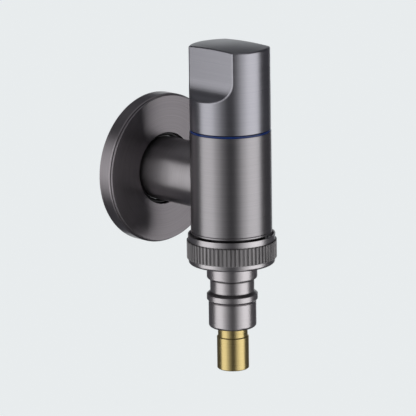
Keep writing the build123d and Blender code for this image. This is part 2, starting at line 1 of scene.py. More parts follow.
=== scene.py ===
# %% [markdown]
# # A wall tap with a hose nozzle
#
# The real object is a washing-machine tap: a round cover on the wall, a short arm, an upright body
# with a quarter-turn handle, a knurled nut, and a nozzle with a brass plunger. Its pieces come from
# CAD and stand still here. This script gives them their finish, cuts the screw threads and the
# flange's fine groove, and sets up the camera and the studio. Lengths are in metres.

# %% Load the tap
import json
import math

import bpy
from mathutils import Matrix, Vector

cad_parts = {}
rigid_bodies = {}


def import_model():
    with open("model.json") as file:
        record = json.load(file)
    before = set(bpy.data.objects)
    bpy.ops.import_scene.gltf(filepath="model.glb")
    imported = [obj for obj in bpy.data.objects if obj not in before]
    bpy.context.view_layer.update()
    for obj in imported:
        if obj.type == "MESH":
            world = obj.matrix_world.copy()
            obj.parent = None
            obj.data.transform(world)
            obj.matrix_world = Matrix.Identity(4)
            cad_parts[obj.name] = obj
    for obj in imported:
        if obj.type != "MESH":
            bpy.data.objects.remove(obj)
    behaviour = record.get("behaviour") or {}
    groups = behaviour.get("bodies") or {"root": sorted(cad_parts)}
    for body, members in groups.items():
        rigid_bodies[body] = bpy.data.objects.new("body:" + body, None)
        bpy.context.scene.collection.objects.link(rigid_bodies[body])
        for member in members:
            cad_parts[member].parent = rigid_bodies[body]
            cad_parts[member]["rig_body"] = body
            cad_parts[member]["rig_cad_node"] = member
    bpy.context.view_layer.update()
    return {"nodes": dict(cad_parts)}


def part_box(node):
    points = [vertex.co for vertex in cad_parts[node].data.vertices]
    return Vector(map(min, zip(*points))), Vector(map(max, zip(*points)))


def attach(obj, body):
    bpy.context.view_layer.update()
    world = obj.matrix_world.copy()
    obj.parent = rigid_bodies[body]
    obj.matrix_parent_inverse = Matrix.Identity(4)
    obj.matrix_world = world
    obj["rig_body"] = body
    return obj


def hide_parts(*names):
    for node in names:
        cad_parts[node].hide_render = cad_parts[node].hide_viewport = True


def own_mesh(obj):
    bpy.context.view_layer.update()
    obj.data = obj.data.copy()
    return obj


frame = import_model()
nodes = frame["nodes"]

# %% [markdown]
# ## Sizes to work from
#
# The upright parts are turned about one vertical axis, and the arm and the flange about one that
# runs into the wall along Y through the origin. The upright axis lies over X = 0, and its place in Y
# is read from the nut, so that it is not written twice.

# %% Measure the parts
MM = 0.001
nut_low, nut_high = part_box("union_nut")
upright_y = (nut_low.y + nut_high.y) / 2
body_low, body_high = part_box("tap_body")
flange_low, flange_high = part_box("wall_flange")
print("upright axis at y =", round(upright_y, 5), "top of the body at z =", round(body_high.z, 5))

# %% [markdown]
# ## Camera
#
# The photograph was taken from the left and a little above with a long lens, so the upright edges
# stay nearly parallel. The place, the direction and the small roll come from fitting the outlines.
# The camera's axes are built as a matrix, which says exactly where it looks.

# %% Set the camera
CAMERA_PLACE = Vector((-0.89405, -0.92748, 0.29401))
CAMERA_AZIMUTH = math.radians(-44.819)
CAMERA_DIP = math.radians(-13.546)
CAMERA_ROLL = math.radians(0.803)
CAMERA_LENS = 311.58
SENSOR_WIDTH = 36.0
NEAREST_SEEN = 0.01
FARTHEST_SEEN = 100.0


def camera_axes(azimuth, dip, roll):
    """The camera's right, up and backward directions as the columns of a matrix."""
    ahead = Vector(
        (-math.sin(azimuth) * math.cos(dip), math.cos(azimuth) * math.cos(dip), math.sin(dip))
    )
    right = Vector((math.cos(azimuth), math.sin(azimuth), 0.0))
    down = ahead.cross(right)
    turned_right = math.cos(roll) * right + math.sin(roll) * down
    turned_down = -math.sin(roll) * right + math.cos(roll) * down
    return Matrix((turned_right, -turned_down, -ahead)).transposed()


camera_data = bpy.data.cameras.new("camera")
camera_data.lens = CAMERA_LENS
camera_data.sensor_width = SENSOR_WIDTH
camera_data.clip_start = NEAREST_SEEN
camera_data.clip_end = FARTHEST_SEEN
camera = bpy.data.objects.new("camera", camera_data)
bpy.context.scene.collection.objects.link(camera)
camera.matrix_world = Matrix.Translation(CAMERA_PLACE) @ camera_axes(
    CAMERA_AZIMUTH, CAMERA_DIP, CAMERA_ROLL
).to_4x4()
bpy.context.scene.camera = camera
bpy.context.scene.view_settings.view_transform = "Standard"
print("camera distance:", round((CAMERA_PLACE - Vector((0, upright_y, 0))).length, 3))

# %% [markdown]
# ## Studio
#
# Brushed metal shows its surroundings as soft upright bands. The photograph's cylinders have a bright
# band on each side and a dark middle, which is what a wide softbox on each side of the camera gives.
# The bands fade slowly towards the middle, so each side has three panels that stand edge to edge, and
# the inner ones are weaker. The outer one on the left ends soon below the tap, because the arm's
# underside would mirror a longer one. The outer one on the right is low, because it shines on the
# flange, and the arm would mirror a tall one a second time. The camera doesn't see them.

# %% Hang the softboxes
TARGET_Z = -0.005
TARGET = Vector((0.0, upright_y, TARGET_Z))
towards_camera = math.atan2(CAMERA_PLACE.y - TARGET.y, CAMERA_PLACE.x - TARGET.x)
PANEL_DISTANCE = 0.55
PANEL_TOP = 0.42
PANEL_FOOT = -0.98


def panel(name, inner, outer, radiance, top=PANEL_TOP, foot=PANEL_FOOT):
    """An upright lamp between two angles from the camera, in degrees to the left."""
    angle = towards_camera - math.radians((inner + outer) / 2)
    half = math.radians(abs(outer - inner) / 2)
    lamp_data = bpy.data.lights.new(name, "AREA")
    lamp_data.shape = "RECTANGLE"
    lamp_data.size = 2 * PANEL_DISTANCE * math.tan(half)
    lamp_data.size_y = top - foot
    lamp_data.energy = radiance * math.pi * lamp_data.size * lamp_data.size_y
    lamp = bpy.data.objects.new(name, lamp_data)
    bpy.context.scene.collection.objects.link(lamp)
    outwards = Vector((math.cos(angle), math.sin(angle), 0.0))
    lamp.location = TARGET + outwards * PANEL_DISTANCE + Vector((0, 0, (top + foot) / 2))
    lamp.rotation_euler = (-outwards).to_track_quat("-Z", "Y").to_euler()
    lamp.visible_camera = False
    print(name, "power", round(lamp_data.energy, 2))


panel("left_softbox_inner", inner=13, outer=29, radiance=0.27)
panel("left_softbox_middle", inner=29, outer=46, radiance=0.80)
panel("left_softbox_outer", inner=46, outer=92, radiance=1.60, foot=-0.37)
panel("right_softbox_inner", inner=-16, outer=-28, radiance=0.38)
panel("right_softbox_middle", inner=-28, outer=-45, radiance=1.15)
panel("right_softbox_outer", inner=-45, outer=-90, radiance=1.90, top=0.12, foot=-0.30)

# %% [markdown]
# ## World and floor
#
# A Light Path node tells the kinds of ray apart. For the camera, and for what the metal mirrors, the
# world and the floor are pale and even. For the soft light that fills the shadows they are dim, so
# that the lamps alone light the tap. The floor keeps a share of its own paint, on which a shadow can
# fall. The tap is fixed at working height, so the floor lies about a metre below it.

# %% Make the world and the floor
PALE = (0.80, 0.83, 0.84, 1.0)
DIM = (0.10, 0.10, 0.11, 1.0)
FLOOR_Z = -1.1
FLOOR_SIZE = 60.0
FLOOR_GLOW = 0.85
FLOOR_PAINT = (0.60, 0.61, 0.61, 1.0)


def add_node(tree, kind, place=(0, 0), **values):
    """A node with its input values set by name."""
    made = tree.nodes.new(kind)
    made.location = place
    for name, value in values.items():
        made.inputs[name.replace("_", " ")].default_value = value
    return made


def math_node(tree, operation, place):
    """A Math node that does one operation."""
    made = add_node(tree, "ShaderNodeMath", place)
    made.operation = operation
    return made


def vector_node(tree, operation, place):
    """A Vector Math node that does one operation."""
    made = add_node(tree, "ShaderNodeVectorMath", place)
    made.operation = operation
    return made


def colour_mix(tree, place):
    """A Mix node that mixes colours."""
    made = add_node(tree, "ShaderNodeMix", place)
    made.data_type = "RGBA"
    return made


def seen_or_mirrored(tree, place):
    """A factor that is 1 for camera, glossy and transmission rays, and 0 for the others."""
    path = add_node(tree, "ShaderNodeLightPath", (place[0] - 400, place[1]))
    first = math_node(tree, "MAXIMUM", (place[0] - 200, place[1]))
    second = math_node(tree, "MAXIMUM", place)
    tree.links.new(path.outputs["Is Camera Ray"], first.inputs[0])
    tree.links.new(path.outputs["Is Glossy Ray"], first.inputs[1])
    tree.links.new(first.outputs["Value"], second.inputs[0])
    tree.links.new(path.outputs["Is Transmission Ray"], second.inputs[1])
    return second.outputs["Value"]


world = bpy.data.worlds.new("studio")
bpy.context.scene.world = world
world.use_nodes = True
sky = world.node_tree
sky.nodes.clear()
pick = colour_mix(sky, (-400, 0))
pick.inputs["A"].default_value = DIM
pick.inputs["B"].default_value = PALE
background = add_node(sky, "ShaderNodeBackground", (-200, 0), Strength=1.0)
sky_out = add_node(sky, "ShaderNodeOutputWorld", (0, 0))
sky.links.new(seen_or_mirrored(sky, (-600, 0)), pick.inputs["Factor"])
sky.links.new(pick.outputs["Result"], background.inputs["Color"])
sky.links.new(background.outputs["Background"], sky_out.inputs["Surface"])

bpy.ops.object.select_all(action="DESELECT")
bpy.ops.mesh.primitive_plane_add(size=FLOOR_SIZE, location=(0, 0, FLOOR_Z))
floor = bpy.context.object
floor.name = "floor"
floor_paint = bpy.data.materials.new("floor_paint")
floor_paint.use_nodes = True
floor_tree = floor_paint.node_tree
floor_tree.nodes.clear()
floor_share = math_node(floor_tree, "MULTIPLY", (-400, 200))
floor_share.inputs[1].default_value = FLOOR_GLOW
floor_dull = add_node(floor_tree, "ShaderNodeBsdfDiffuse", (-400, 0), Color=FLOOR_PAINT)
floor_glow = add_node(floor_tree, "ShaderNodeEmission", (-400, -150), Color=PALE)
floor_glow.inputs["Strength"].default_value = 1 / FLOOR_GLOW
floor_mix = add_node(floor_tree, "ShaderNodeMixShader", (-200, 0))
floor_out = add_node(floor_tree, "ShaderNodeOutputMaterial", (0, 0))
floor_tree.links.new(seen_or_mirrored(floor_tree, (-600, 200)), floor_share.inputs[0])
floor_tree.links.new(floor_share.outputs["Value"], floor_mix.inputs["Fac"])
floor_tree.links.new(floor_dull.outputs["BSDF"], floor_mix.inputs[1])
floor_tree.links.new(floor_glow.outputs["Emission"], floor_mix.inputs[2])
floor_tree.links.new(floor_mix.outputs["Shader"], floor_out.inputs["Surface"])
floor.data.materials.append(floor_paint)
print("floor", FLOOR_SIZE, "m wide at z =", FLOOR_Z)

# %% [markdown]
# ## Black tent
#
# Bare metal in a pale room looks white. A photographer who wants it dark hangs black cloth round it,
# outside the softboxes, and leaves a window where a pale edge is wanted. This tent is a drum with a
# roof and a floor, and only mirror rays can see it. Its window is behind the tap, for the top of the
# handle. The cloth behind the tap is a little lighter and the roof is grey, so that the tap looks
# right from behind and from above too.

# %% Hang the tent
TENT_R = 1.4
TENT_TOP = 1.6
TENT_FOOT = -1.0
TENT_STEPS = 72
WINDOW_LEFT = math.radians(14)
WINDOW_RIGHT = math.radians(26)
WINDOW_TOP = 0.35
BLACK_CLOTH = (0.050, 0.050, 0.056, 1.0)
DARK_CLOTH = (0.09, 0.09, 0.10, 1.0)
GREY_CLOTH = (0.28, 0.28, 0.29, 1.0)
REAR_HALF = math.radians(65)
ROOF_PLAY = 0.01
WALL_LEAN = 0.5

bpy.ops.object.select_all(action="DESELECT")
bpy.ops.mesh.primitive_cylinder_add(
    vertices=TENT_STEPS,
    radius=TENT_R,
    depth=TENT_TOP - TENT_FOOT,
    end_fill_type="TRIFAN",
    location=(0.0, upright_y, (TENT_TOP + TENT_FOOT) / 2),
)
tent = bpy.context.object
tent.name = "black_tent"
bpy.ops.object.transform_apply(location=True, rotation=True, scale=True)
bpy.ops.object.mode_set(mode="EDIT")
bpy.ops.mesh.select_all(action="SELECT")
bpy.ops.mesh.bisect(plane_co=(0, 0, WINDOW_TOP), plane_no=(0, 0, 1))
bpy.ops.mesh.select_mode(type="FACE")
bpy.ops.mesh.select_all(action="DESELECT")
bpy.ops.object.mode_set(mode="OBJECT")
backwards = math.atan2(-math.sin(towards_camera), -math.cos(towards_camera))


def turn_from_back(face):
    """The angle from straight behind the tap to a face of the tent, positive towards the left."""
    bearing = math.atan2(face.center.y - upright_y, face.center.x)
    return (bearing - backwards + math.pi) % math.tau - math.pi


for face in tent.data.polygons:
    behind = -WINDOW_RIGHT < turn_from_back(face) < WINDOW_LEFT
    face.select = behind and face.center.z < WINDOW_TOP and abs(face.normal.z) < WALL_LEAN
bpy.ops.object.mode_set(mode="EDIT")
bpy.ops.mesh.delete(type="FACE")
bpy.ops.object.mode_set(mode="OBJECT")


def tent_cloth(name, tone):
    """An even cloth that gives off its own tone, whatever the lamps do."""
    cloth = bpy.data.materials.new(name)
    cloth.use_nodes = True
    tree = cloth.node_tree
    tree.nodes.clear()
    glow = add_node(tree, "ShaderNodeEmission", (-200, 0), Color=tone, Strength=1.0)
    out = add_node(tree, "ShaderNodeOutputMaterial", (0, 0))
    tree.links.new(glow.outputs["Emission"], out.inputs["Surface"])
    return cloth


tent.data.materials.append(tent_cloth("black_cloth", BLACK_CLOTH))
tent.data.materials.append(tent_cloth("dark_cloth", DARK_CLOTH))
tent.data.materials.append(tent_cloth("grey_cloth", GREY_CLOTH))
for face in tent.data.polygons:
    if face.center.z > TENT_TOP - ROOF_PLAY:
        face.material_index = 2
    elif abs(turn_from_back(face)) < REAR_HALF:
        face.material_index = 1
tent.visible_camera = False
tent.visible_diffuse = False
tent.visible_transmission = False
tent.visible_shadow = False
print("tent faces:", len(tent.data.polygons))

# %% [markdown]
# ## Brush strokes as a node group
#
# The gunmetal finish is brushed while the part spins in a lathe, so its strokes run round the part.
# A noise that is squeezed along the stroke's width and stretched along its length looks like that.
# More than one finish needs it, so it is a group: coordinates go in, and a tone, a roughness and a
# height come out. The strokes are finer than a pixel in most views, which is what makes metal satin.

# %% Build the stroke group
STROKES_ACROSS = 9000.0
STROKES_ALONG = 45.0
STROKES_AROUND = 0.6
BROAD_SCALE = 0.22
BROAD_SHARE = 0.4
NOISE_LOW = 0.3
NOISE_HIGH = 0.7


def socket(group, name, kind, way, value=None):
    """Adds a named input or output to a node group."""
    made = group.interface.new_socket(name=name, in_out=way, socket_type=kind)
    if value is not None:
        made.default_value = value


strokes = bpy.data.node_groups.new("brush_strokes", "ShaderNodeTree")
socket(strokes, "Vector", "NodeSocketVector", "INPUT")
socket(strokes, "Dark", "NodeSocketColor", "INPUT", (0.20, 0.19, 0.20, 1.0))
socket(strokes, "Light", "NodeSocketColor", "INPUT", (0.30, 0.29, 0.30, 1.0))
socket(strokes, "Rough Low", "NodeSocketFloat", "INPUT", 0.26)
socket(strokes, "Rough High", "NodeSocketFloat", "INPUT", 0.36)
socket(strokes, "Color", "NodeSocketColor", "OUTPUT")
socket(strokes, "Roughness", "NodeSocketFloat", "OUTPUT")
socket(strokes, "Height", "NodeSocketFloat", "OUTPUT")
group_in = add_node(strokes, "NodeGroupInput", (-900, 0))
group_out = add_node(strokes, "NodeGroupOutput", (500, 0))
fine = add_node(strokes, "ShaderNodeTexNoise", (-600, 200), Scale=1.0, Detail=3.0, Roughness=0.6)
broad = add_node(strokes, "ShaderNodeTexNoise", (-600, -100), Detail=2.0, Roughness=0.5)
broad.inputs["Scale"].default_value = BROAD_SCALE
blend = add_node(strokes, "ShaderNodeMix", (-350, 100), Factor=BROAD_SHARE)
tone = colour_mix(strokes, (100, 200))
rough = add_node(strokes, "ShaderNodeMapRange", (100, -50))
contrast = add_node(strokes, "ShaderNodeMapRange", (-130, 100))
contrast.inputs["From Min"].default_value = NOISE_LOW
contrast.inputs["From Max"].default_value = NOISE_HIGH
strokes.links.new(group_in.outputs["Vector"], fine.inputs["Vector"])
strokes.links.new(group_in.outputs["Vector"], broad.inputs["Vector"])
strokes.links.new(fine.outputs["Fac"], blend.inputs["A"])
strokes.links.new(broad.outputs["Fac"], blend.inputs["B"])
strokes.links.new(blend.outputs["Result"], contrast.inputs["Value"])
strokes.links.new(contrast.outputs["Result"], tone.inputs["Factor"])
strokes.links.new(group_in.outputs["Dark"], tone.inputs["A"])
strokes.links.new(group_in.outputs["Light"], tone.inputs["B"])
strokes.links.new(contrast.outputs["Result"], rough.inputs["Value"])
strokes.links.new(group_in.outputs["Rough Low"], rough.inputs["To Min"])
strokes.links.new(group_in.outputs["Rough High"], rough.inputs["To Max"])
strokes.links.new(tone.outputs["Result"], group_out.inputs["Color"])
strokes.links.new(rough.outputs["Result"], group_out.inputs["Roughness"])
strokes.links.new(contrast.outputs["Result"], group_out.inputs["Height"])
print(strokes.name, "has", len(strokes.nodes), "nodes")

# %% [markdown]
# ## Round coordinates as a second group
#
# On the flange's face the strokes are circles, so the noise must read how far a point is from the
# axis. This group takes coordinates whose Z runs along the part's axis. It gives the direction away
# from the axis, scaled a little, and the distance along and from the axis, scaled a lot. The plain
# height along the axis comes out too, for the painted shade lines.

# %% Build the lathe group
lathe = bpy.data.node_groups.new("lathe_coordinates", "ShaderNodeTree")
socket(lathe, "Vector", "NodeSocketVector", "INPUT")
socket(lathe, "Around", "NodeSocketFloat", "INPUT", STROKES_AROUND)
socket(lathe, "Across", "NodeSocketFloat", "INPUT", STROKES_ACROSS)
socket(lathe, "Vector", "NodeSocketVector", "OUTPUT")
socket(lathe, "Height", "NodeSocketFloat", "OUTPUT")
lathe_in = add_node(lathe, "NodeGroupInput", (-900, 0))
lathe_out = add_node(lathe, "NodeGroupOutput", (500, 0))
parts = add_node(lathe, "ShaderNodeSeparateXYZ", (-700, 0))
flat = add_node(lathe, "ShaderNodeCombineXYZ", (-500, 100))
unit = vector_node(lathe, "NORMALIZE", (-300, 150))
far = vector_node(lathe, "LENGTH", (-300, 0))
total = math_node(lathe, "ADD", (-100, -50))
scaled = math_node(lathe, "MULTIPLY", (50, -50))
around = vector_node(lathe, "SCALE", (-100, 150))
halves = add_node(lathe, "ShaderNodeSeparateXYZ", (100, 150))
joined = add_node(lathe, "ShaderNodeCombineXYZ", (300, 50))
lathe.links.new(lathe_in.outputs["Vector"], parts.inputs["Vector"])
lathe.links.new(parts.outputs["X"], flat.inputs["X"])
lathe.links.new(parts.outputs["Y"], flat.inputs["Y"])
lathe.links.new(flat.outputs["Vector"], unit.inputs[0])
lathe.links.new(flat.outputs["Vector"], far.inputs[0])
lathe.links.new(far.outputs["Value"], total.inputs[0])
lathe.links.new(parts.outputs["Z"], total.inputs[1])
lathe.links.new(total.outputs["Value"], scaled.inputs[0])
lathe.links.new(lathe_in.outputs["Across"], scaled.inputs[1])
lathe.links.new(unit.outputs["Vector"], around.inputs[0])
lathe.links.new(lathe_in.outputs["Around"], around.inputs["Scale"])
lathe.links.new(around.outputs["Vector"], halves.inputs["Vector"])
lathe.links.new(halves.outputs["X"], joined.inputs["X"])
lathe.links.new(halves.outputs["Y"], joined.inputs["Y"])
lathe.links.new(scaled.outputs["Value"], joined.inputs["Z"])
lathe.links.new(joined.outputs["Vector"], lathe_out.inputs["Vector"])
lathe.links.new(parts.outputs["Z"], lathe_out.inputs["Height"])
print(lathe.name, "has", len(lathe.nodes), "nodes")

# %% [markdown]
# ## Metal finishes
#
# Every metal here is one recipe with its own values: stroke coordinates, the stroke group, a bump
# of the strokes, and a Principled shader with Metallic at 1. The colours, the roughness and the way
# that the strokes run differ. On turned parts they go round an axis. On the handle they are level all
# over, also across its flat cheeks.

# %% Write the metal recipe
UPRIGHT = "round the upright axis"
INTO_WALL = "round the axis into the wall"
LEVEL = "level"
RELIEF_DEPTH = 0.02 * MM
SATIN = (0.27, 0.35)


def stroke_coordinates(tree, way):
    """The node whose Vector output varies quickly across the strokes and slowly along them."""
    place = add_node(tree, "ShaderNodeTexCoord", (-1300, 0))
    mapping = add_node(tree, "ShaderNodeMapping", (-1100, 0))
    tree.links.new(place.outputs["Object"], mapping.inputs["Vector"])
    if way == LEVEL:
        mapping.inputs["Scale"].default_value = (STROKES_ALONG, STROKES_ALONG, STROKES_ACROSS)
        return mapping
    if way == UPRIGHT:
        mapping.inputs["Location"].default_value = (0.0, -upright_y, 0.0)
    else:
        mapping.inputs["Rotation"].default_value = (math.pi / 2, 0.0, 0.0)
    turned = add_node(tree, "ShaderNodeGroup", (-900, 0))
    turned.node_tree = lathe
    turned.inputs["Around"].default_value = STROKES_AROUND
    turned.inputs["Across"].default_value = STROKES_ACROSS
    tree.links.new(mapping.outputs["Vector"], turned.inputs["Vector"])
    return turned


def metal(name, way, dark, light, rough=SATIN, bump=0.08):
    """A brushed metal with strokes that run one way, vary in tone and are rough from low to high."""
    material = bpy.data.materials.new(name)
    material.use_nodes = True
    tree = material.node_tree
    shader = tree.nodes["Principled BSDF"]
    shader.inputs["Metallic"].default_value = 1.0
    brushed = add_node(tree, "ShaderNodeGroup", (-650, 0))
    brushed.node_tree = strokes
    brushed.inputs["Dark"].default_value = (*dark, 1.0)
    brushed.inputs["Light"].default_value = (*light, 1.0)
    brushed.inputs["Rough Low"].default_value = rough[0]
    brushed.inputs["Rough High"].default_value = rough[1]
    relief = add_node(tree, "ShaderNodeBump", (-300, -250), Strength=bump, Distance=RELIEF_DEPTH)
    tree.links.new(stroke_coordinates(tree, way).outputs["Vector"], brushed.inputs["Vector"])
    tree.links.new(brushed.outputs["Color"], shader.inputs["Base Color"])
    tree.links.new(brushed.outputs["Roughness"], shader.inputs["Roughness"])
    tree.links.new(brushed.outputs["Height"], relief.inputs["Height"])
    tree.links.new(relief.outputs["Normal"], shader.inputs["Normal"])
    print("metal:", name, "with strokes", way)
    return material


gunmetal_upright = metal(
    "gunmetal_upright",
    UPRIGHT,
    dark=(0.240, 0.230, 0.240),
    light=(0.290, 0.280, 0.290),
)
gunmetal_arm = metal(
    "gunmetal_arm",
    INTO_WALL,
    dark=(0.31, 0.295, 0.305),
    light=(0.39, 0.37, 0.385),
    rough=(0.31, 0.37),
)
gunmetal_flange = metal(
    "gunmetal_flange",
    INTO_WALL,
    dark=(0.25, 0.23, 0.245),
    light=(0.33, 0.31, 0.325),
)
gunmetal_handle = metal(
    "gunmetal_handle",
    LEVEL,
    dark=(0.263, 0.260, 0.284),
    light=(0.302, 0.299, 0.327),
    bump=0.05,
)
gunmetal_nut = metal(
    "gunmetal_nut",
    UPRIGHT,
    dark=(0.35, 0.335, 0.345),
    light=(0.43, 0.415, 0.425),
    rough=(0.26, 0.34),
)
gunmetal_nozzle = metal(
    "gunmetal_nozzle",
    UPRIGHT,
    dark=(0.37, 0.35, 0.36),
    light=(0.45, 0.43, 0.44),
    rough=(0.29, 0.37),
)
raw_brass = metal(
    "turned_brass",
    UPRIGHT,
    dark=(0.46, 0.36, 0.155),
    light=(0.57, 0.455, 0.205),
    rough=(0.26, 0.34),
)
steel = metal(
    "stainless_steel",
    UPRIGHT,
    dark=(0.50, 0.50, 0.51),
    light=(0.62, 0.62, 0.63),
    rough=(0.22, 0.30),
)

# %% [markdown]
# ## Light drawn out along the arm
#
# Strokes round a cylinder scatter light along it and hardly round it, so the arm's bright band runs
# on into the flange's shade. The shader's anisotropy does that: a Tangent node gives the direction
# round the axis, and a quarter turn makes it the direction along the arm.

# %% Turn the arm's gloss
GLOSS_STRETCH = 0.6
QUARTER_TURN = 0.25

arm_tree = gunmetal_arm.node_tree
arm_shader = arm_tree.nodes["Principled BSDF"]
arm_shader.inputs["Anisotropic"].default_value = GLOSS_STRETCH
arm_shader.inputs["Anisotropic Rotation"].default_value = QUARTER_TURN
round_arm = add_node(arm_tree, "ShaderNodeTangent", (-300, -450))
round_arm.direction_type = "RADIAL"
round_arm.axis = "Y"
arm_tree.links.new(round_arm.outputs["Tangent"], arm_shader.inputs["Tangent"])
print("arm's gloss drawn out along it")

# %% [markdown]
# ## A duller grip on the nut, with painted shade in its grooves
#
# The nut's rim and foot are polished, but its knurl is left as the knurling tool made it: dull,
# with painted shade that is darkest at the bottom of the grooves. All of the knurl lies further from
# the axis than the rim, so the distance from the axis tells the two apart. The group below turns that
# distance into a mask and into a height between groove and crest.

# %% Build the grip group
NUT_RIM_R = 15.77 * MM
GROOVE_R = 15.87 * MM
CREST_R = (nut_high.x - nut_low.x) / 2

grip = bpy.data.node_groups.new("grip_mask", "ShaderNodeTree")
socket(grip, "Vector", "NodeSocketVector", "INPUT")
socket(grip, "Groove", "NodeSocketFloat", "INPUT", GROOVE_R)
socket(grip, "Crest", "NodeSocketFloat", "INPUT", CREST_R)
socket(grip, "Mask", "NodeSocketFloat", "OUTPUT")
socket(grip, "Rise", "NodeSocketFloat", "OUTPUT")
grip_in = add_node(grip, "NodeGroupInput", (-900, 0))
grip_out = add_node(grip, "NodeGroupOutput", (300, 0))
apart = add_node(grip, "ShaderNodeSeparateXYZ", (-700, 0))
level = add_node(grip, "ShaderNodeCombineXYZ", (-500, 0))
reach = vector_node(grip, "LENGTH", (-300, 0))
outside = math_node(grip, "GREATER_THAN", (-100, 150))
outside.inputs[1].default_value = (NUT_RIM_R + GROOVE_R) / 2
rise = add_node(grip, "ShaderNodeMapRange", (-100, -50))
grip.links.new(grip_in.outputs["Vector"], apart.inputs["Vector"])
grip.links.new(apart.outputs["X"], level.inputs["X"])
grip.links.new(apart.outputs["Y"], level.inputs["Y"])
grip.links.new(level.outputs["Vector"], reach.inputs[0])
grip.links.new(reach.outputs["Value"], outside.inputs[0])
grip.links.new(reach.outputs["Value"], rise.inputs["Value"])
grip.links.new(grip_in.outputs["Groove"], rise.inputs["From Min"])
grip.links.new(grip_in.outputs["Crest"], rise.inputs["From Max"])
grip.links.new(outside.outputs["Value"], grip_out.inputs["Mask"])
grip.links.new(rise.outputs["Result"], grip_out.inputs["Rise"])
print("knurl from", round(GROOVE_R / MM, 2), "to", round(CREST_R / MM, 2), "mm")

# %% [markdown]
# ## Uneven ridges and painted groove shade
#
# No knurl is cut evenly, so some of its ridges look paler than others. A noise drawn out upright is
# added to the height between groove and crest, and the sum picks the knurl's tone, whose dark end is
# painted shade low in the grooves. The mask lays that tone, and a duller gloss, over the nut's
# finish.

# %% Dull the knurl and paint shade into its grooves
GRIP_ROUGHNESS = 0.60
# The knurl's dark tone is painted shade at the bottom of its grooves.
KNURL_GROOVE_SHADE = (0.130, 0.124, 0.127, 1.0)
KNURL_LIGHT = (0.33, 0.32, 0.325, 1.0)
RIDGE_NOISE = 700.0
RIDGE_STRETCH = 12
KNURL_LOW = 0.2
KNURL_HIGH = 1.7

nut_tree = gunmetal_nut.node_tree
nut_shader = nut_tree.nodes["Principled BSDF"]
nut_place = next(n for n in nut_tree.nodes if n.bl_idname == "ShaderNodeMapping")
nut_colour = nut_shader.inputs["Base Color"].links[0].from_socket
nut_roughness = nut_shader.inputs["Roughness"].links[0].from_socket
on_grip = add_node(nut_tree, "ShaderNodeGroup", (-650, 300))
on_grip.node_tree = grip
on_grip.inputs["Groove"].default_value = GROOVE_R
on_grip.inputs["Crest"].default_value = CREST_R
knurl_tone_and_shade = colour_mix(nut_tree, (-400, 350))
knurl_tone_and_shade.inputs["A"].default_value = KNURL_GROOVE_SHADE
knurl_tone_and_shade.inputs["B"].default_value = KNURL_LIGHT
ridges = vector_node(nut_tree, "MULTIPLY", (-1100, 500))
ridges.inputs[1].default_value = (RIDGE_NOISE, RIDGE_NOISE, RIDGE_NOISE / RIDGE_STRETCH)
uneven = add_node(nut_tree, "ShaderNodeTexNoise", (-900, 500), Scale=1.0, Detail=2.0, Roughness=0.5)
spread_out = add_node(nut_tree, "ShaderNodeMapRange", (-750, 500))
spread_out.inputs["From Min"].default_value = NOISE_LOW
spread_out.inputs["From Max"].default_value = NOISE_HIGH
# Painted groove shade from the height, plus uneven ridges from the noise.
shade_and_unevenness = math_node(nut_tree, "ADD", (-600, 450))
knurl_share = add_node(nut_tree, "ShaderNodeMapRange", (-450, 450))
knurl_share.inputs["From Min"].default_value = KNURL_LOW
knurl_share.inputs["From Max"].default_value = KNURL_HIGH
nut_tone = colour_mix(nut_tree, (-200, 250))
nut_gloss = add_node(nut_tree, "ShaderNodeMix", (-200, 50))
nut_gloss.inputs["B"].default_value = GRIP_ROUGHNESS
nut_tree.links.new(nut_place.outputs["Vector"], on_grip.inputs["Vector"])
nut_tree.links.new(nut_place.outputs["Vector"], ridges.inputs[0])
nut_tree.links.new(ridges.outputs["Vector"], uneven.inputs["Vector"])
nut_tree.links.new(uneven.outputs["Fac"], spread_out.inputs["Value"])
nut_tree.links.new(on_grip.outputs["Rise"], shade_and_unevenness.inputs[0])
nut_tree.links.new(spread_out.outputs["Result"], shade_and_unevenness.inputs[1])
nut_tree.links.new(shade_and_unevenness.outputs["Value"], knurl_share.inputs["Value"])
nut_tree.links.new(knurl_share.outputs["Result"], knurl_tone_and_shade.inputs["Factor"])
nut_tree.links.new(on_grip.outputs["Mask"], nut_tone.inputs["Factor"])
nut_tree.links.new(nut_colour, nut_tone.inputs["A"])
nut_tree.links.new(knurl_tone_and_shade.outputs["Result"], nut_tone.inputs["B"])
nut_tree.links.new(on_grip.outputs["Mask"], nut_gloss.inputs["Factor"])
nut_tree.links.new(nut_roughness, nut_gloss.inputs["A"])
nut_tree.links.new(nut_tone.outputs["Result"], nut_shader.inputs["Base Color"])
nut_tree.links.new(nut_gloss.outputs["Result"], nut_shader.inputs["Roughness"])
print("knurl dulled to a roughness of", GRIP_ROUGHNESS)

# %% [markdown]
# ## Painted shade lines at turned corners
#
# A lathe leaves sharp inner corners where one diameter meets the next, and shade is painted into
# them as dark lines, as it is into the bottom of the fine groove near the flange's rim. Each is a
# narrow band of height along the part's axis, so one group makes a soft mask from that height.

